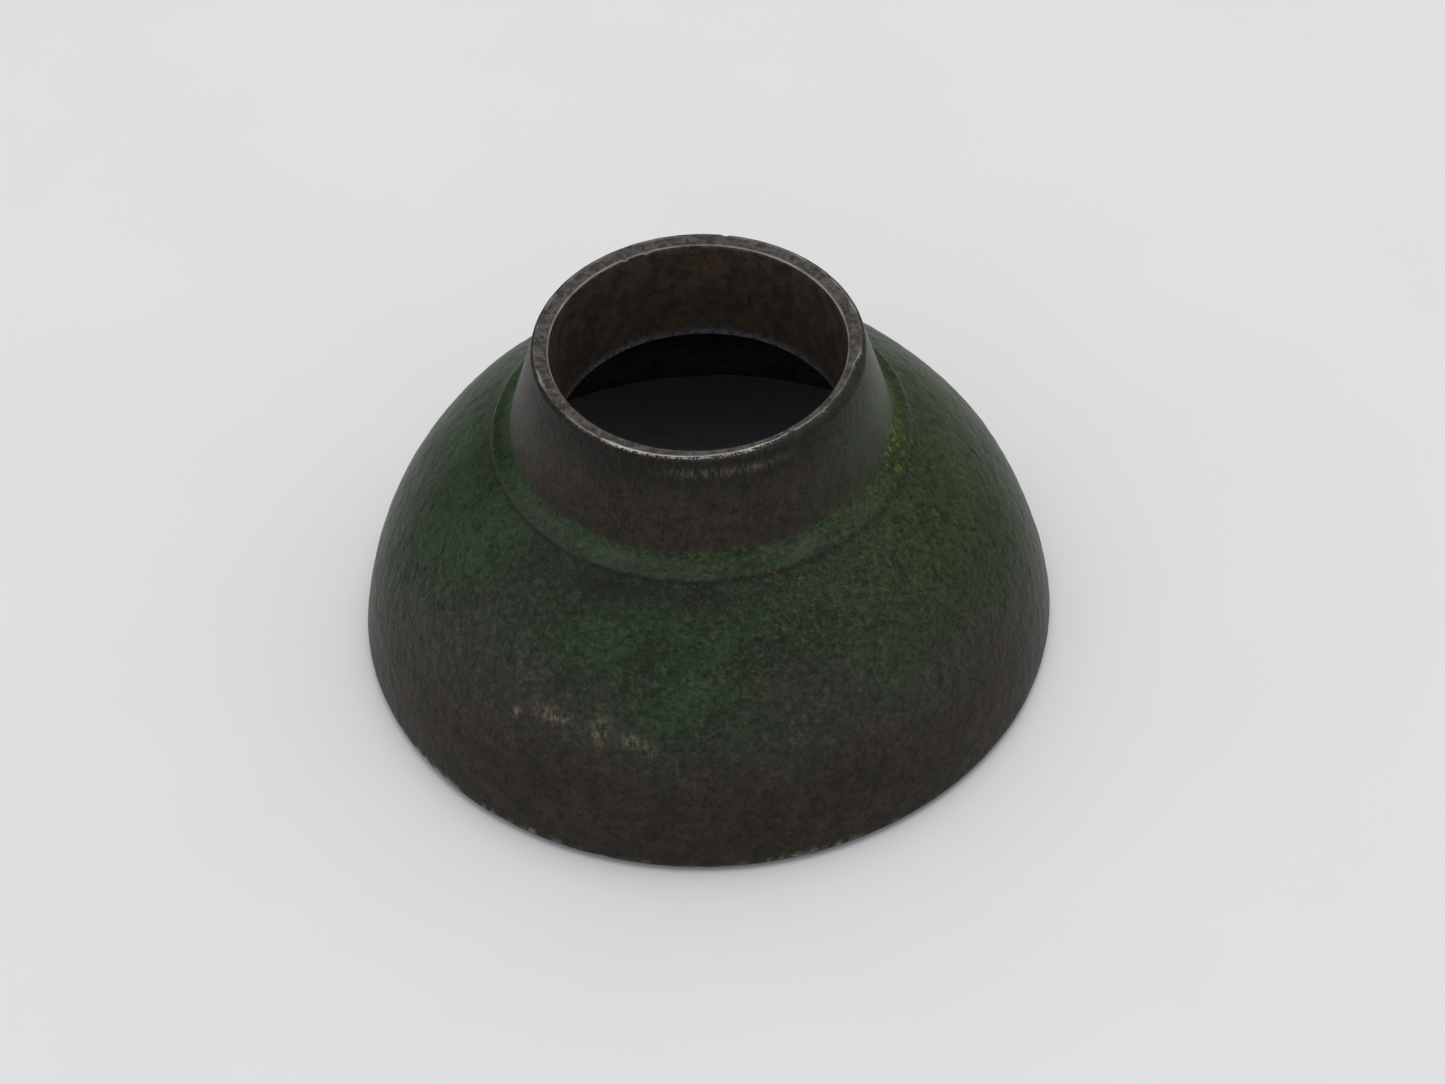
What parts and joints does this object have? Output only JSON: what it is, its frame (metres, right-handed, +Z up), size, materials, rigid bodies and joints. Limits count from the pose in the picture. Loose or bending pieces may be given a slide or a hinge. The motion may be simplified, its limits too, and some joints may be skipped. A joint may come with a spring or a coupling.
{
  "type": "bell casting",
  "caption": "Thin-walled bell-shaped iron casting, open at both ends, with a short neck bored through and faced square, standing on its wide rim.",
  "frame": {"origin": "centre of the wide rim that the bell stands on", "axes": "+Z up along the axis of the bell and the neck bore; round about Z, so X and Y are free"},
  "size_m": [0.1403, 0.1404, 0.072],
  "materials": {
    "painted_cast_iron": "semi-gloss dark green paint worn through to brown iron, with a bare faced neck end"
  },
  "bodies": {
    "root": {"bell_casting": "painted_cast_iron"}
  },
  "joints": []
}
